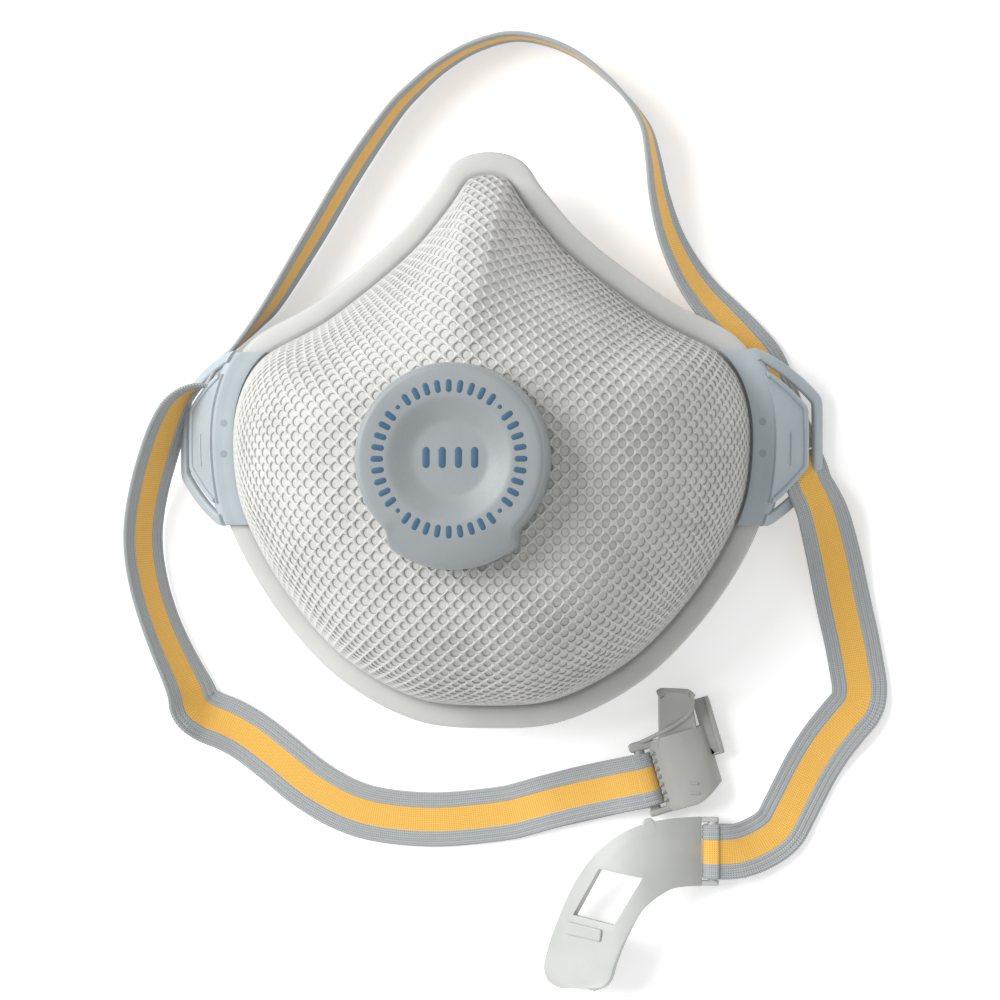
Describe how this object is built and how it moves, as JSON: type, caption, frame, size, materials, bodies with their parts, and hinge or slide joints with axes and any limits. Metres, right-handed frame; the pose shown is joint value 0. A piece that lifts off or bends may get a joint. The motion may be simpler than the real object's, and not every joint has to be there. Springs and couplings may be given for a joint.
{
  "type": "disposable dust mask",
  "caption": "Moulded cup respirator with an outer support mesh, exhalation valve, soft face seal, side clips and an elastic strap with a two-part neck buckle.",
  "frame": {"origin": "centre of the mask's footprint, on the plane that the face seal rests on", "axes": "+Z out of the cup's front, +Y towards the nose, +X towards the wearer's left cheek"},
  "size_m": [0.1683, 0.2091, 0.0665],
  "materials": {
    "support_mesh": "white moulded support net, open diamond cells",
    "filter": "soft white nonwoven filter layers",
    "inner_shell": "smooth white nonwoven inner shell",
    "rim_flange": "pale matt elastomer flange",
    "face_seal": "pale matt soft elastomer seal",
    "valve_cover": "mid grey moulded plastic, satin",
    "valve_body": "pale grey moulded plastic",
    "valve_flap": "thin translucent white silicone",
    "clip": "pale blue-grey moulded plastic, satin",
    "rivet": "blue-grey weld stud",
    "strap": "ribbed elastic webbing, grey with a yellow centre stripe",
    "catch": "warm grey moulded plastic",
    "hook": "light grey moulded plastic, satin"
  },
  "bodies": {
    "mask": {"outer_mesh": "support_mesh", "filter_cup": "filter", "inner_shell": "inner_shell", "flange_ring": "rim_flange", "face_seal": "face_seal", "valve_cover": "valve_cover", "valve_seat": "valve_body", "valve_clamp_ring": "valve_body", "left_clip": "clip", "left_clip_backing": "clip", "left_clip_rivets": "rivet", "right_clip": "clip", "right_clip_backing": "clip", "right_clip_rivets": "rivet", "crown_strap": "strap", "left_neck_strap": "strap", "left_strap_tail": "strap", "right_neck_strap": "strap", "right_strap_tail": "strap"},
    "flap": {"valve_flap": "valve_flap"},
    "catch": {"catch_buckle": "catch"},
    "hook": {"hook_buckle": "hook"}
  },
  "joints": [
    {"name": "flap_hinge", "type": "hinge", "parent": "mask", "child": "flap", "pos_m": [0, 0.0095, 0.0588], "axis": [-1, 0, 0], "range_deg": [0, 10], "stiffness_Nm_per_rad": 0.0002},
    {"name": "catch_pivot", "type": "hinge", "parent": "mask", "child": "catch", "pos_m": [0.033, -0.0742, 0.003], "axis": [0.2874, -0.9578, 0], "range_deg": [-45, 20]},
    {"name": "hook_pivot", "type": "hinge", "parent": "mask", "child": "hook", "pos_m": [0.0475, -0.0896, 0.003], "axis": [0, 1, 0], "range_deg": [-30, 75]}
  ]
}
